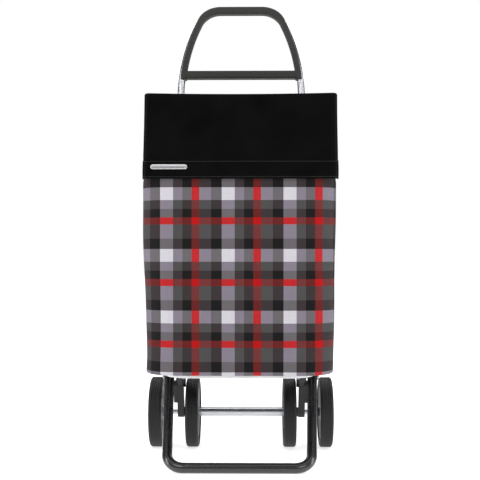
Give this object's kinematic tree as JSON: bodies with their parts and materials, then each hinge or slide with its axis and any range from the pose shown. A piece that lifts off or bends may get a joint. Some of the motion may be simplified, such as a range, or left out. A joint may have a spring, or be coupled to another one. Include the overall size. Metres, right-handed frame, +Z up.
{
  "type": "folding shopping trolley",
  "caption": "Folding shopping trolley: looped tube frame with a soft plaid bag and hinged cover on a fold-up tray, a propping leg and twin wheels on each side.",
  "frame": {"origin": "on the floor, under the middle of the trolley's box", "axes": "+X to the right seen from the front, -Y is the front, +Z up"},
  "size_m": [0.43, 0.4, 1.0502],
  "materials": {
    "polished_tube": "bright polished tube",
    "grip_plastic": "fine matt texture",
    "fastener_steel": "zinc plated",
    "black_plastic": "moulded, satin",
    "webbing": "woven tape",
    "plaid_cloth": "coated twill in a grey, white, black and red plaid",
    "black_cloth": "plain weave, coated",
    "hoop_wire": "plain wire",
    "hook_and_loop": "napped",
    "cover_cloth": "smooth black coated cloth with a satin finish",
    "stiffener_board": "plain board",
    "badge_silver": "plain silver bar",
    "tray_paint": "pale grey powder coat",
    "leg_paint": "black gloss powder coat",
    "tyre_rubber": "black rubber, finely ribbed",
    "rim_plastic": "light grey moulding",
    "wheel_black_plastic": "moulded, satin"
  },
  "bodies": {
    "frame": {"main_tube": "polished_tube", "grip_front_shell": "grip_plastic", "grip_rear_shell": "grip_plastic", "grip_screws": "fastener_steel", "upper_cross_tube": "polished_tube", "lower_cross_tube": "polished_tube", "cross_tube_rivets": "fastener_steel", "bracket_left": "black_plastic", "bracket_right": "black_plastic", "bracket_screws": "fastener_steel", "axle_rod": "polished_tube", "axle_sleeve": "polished_tube", "axle_clips": "fastener_steel", "axle_nuts": "fastener_steel", "leg_pivot_bolts": "fastener_steel", "tray_pivot_pins": "fastener_steel", "bag_hanger_left": "black_plastic", "bag_hanger_right": "black_plastic", "bag_strap_left": "webbing", "bag_strap_right": "webbing", "bag_front_panel": "plaid_cloth", "bag_left_panel": "plaid_cloth", "bag_right_panel": "plaid_cloth", "bag_back_panel": "black_cloth", "bag_bottom_panel": "black_cloth", "bag_rim_hoop": "hoop_wire", "bag_rim_binding": "webbing", "closure_loop_patches": "hook_and_loop"},
    "cover": {"cover_top_panel": "cover_cloth", "cover_front_flap": "cover_cloth", "cover_hem_band": "cover_cloth", "cover_left_skirt": "cover_cloth", "cover_right_skirt": "cover_cloth", "cover_stiffener": "stiffener_board", "cover_hinge_piping": "cover_cloth", "cover_badge": "badge_silver", "closure_hook_patches": "hook_and_loop"},
    "tray": {"tray_tube": "tray_paint", "tray_cross_bars": "tray_paint", "tray_end_fittings": "black_plastic", "base_board": "stiffener_board"},
    "leg": {"leg_tube": "leg_paint", "leg_end_fittings": "black_plastic"},
    "outer_left_wheel": {"outer_left_wheel_tyre": "tyre_rubber", "outer_left_wheel_rim": "rim_plastic", "outer_left_wheel_bush": "wheel_black_plastic", "outer_left_wheel_cap": "wheel_black_plastic"},
    "outer_right_wheel": {"outer_right_wheel_tyre": "tyre_rubber", "outer_right_wheel_rim": "rim_plastic", "outer_right_wheel_bush": "wheel_black_plastic", "outer_right_wheel_cap": "wheel_black_plastic"},
    "inner_left_wheel": {"inner_left_wheel_tyre": "tyre_rubber", "inner_left_wheel_rim": "rim_plastic", "inner_left_wheel_bush": "wheel_black_plastic"},
    "inner_right_wheel": {"inner_right_wheel_tyre": "tyre_rubber", "inner_right_wheel_rim": "rim_plastic", "inner_right_wheel_bush": "wheel_black_plastic"}
  },
  "joints": [
    {"name": "cover_open", "type": "hinge", "parent": "frame", "child": "cover", "pos_m": [0, 0.077, 0.7885], "axis": [-1, 0, 0], "range_deg": [0, 92]},
    {"name": "tray_fold", "type": "hinge", "parent": "frame", "child": "tray", "pos_m": [0, 0.0615, 0.2045], "axis": [-1, 0, 0], "range_deg": [0, 88], "deforming": ["bag_front_panel", "bag_left_panel", "bag_right_panel", "bag_back_panel", "bag_bottom_panel", "bag_rim_hoop", "bag_rim_binding", "closure_loop_patches"]},
    {"name": "leg_fold", "type": "hinge", "parent": "frame", "child": "leg", "pos_m": [0, 0.0415, 0.176], "axis": [-1, 0, 0], "range_deg": [0, 125]},
    {"name": "outer_left_wheel_spin", "type": "hinge", "parent": "frame", "child": "outer_left_wheel", "pos_m": [0, 0.1175, 0.0825], "axis": [-1, 0, 0], "continuous": true},
    {"name": "outer_right_wheel_spin", "type": "hinge", "parent": "frame", "child": "outer_right_wheel", "pos_m": [0, 0.1175, 0.0825], "axis": [-1, 0, 0], "continuous": true},
    {"name": "inner_left_wheel_spin", "type": "hinge", "parent": "frame", "child": "inner_left_wheel", "pos_m": [0, 0.1175, 0.0825], "axis": [-1, 0, 0], "continuous": true},
    {"name": "inner_right_wheel_spin", "type": "hinge", "parent": "frame", "child": "inner_right_wheel", "pos_m": [0, 0.1175, 0.0825], "axis": [-1, 0, 0], "continuous": true}
  ],
  "couplings": [
    {"joint": "leg_fold", "follows": "tray_fold", "ratio": 1.42}
  ]
}
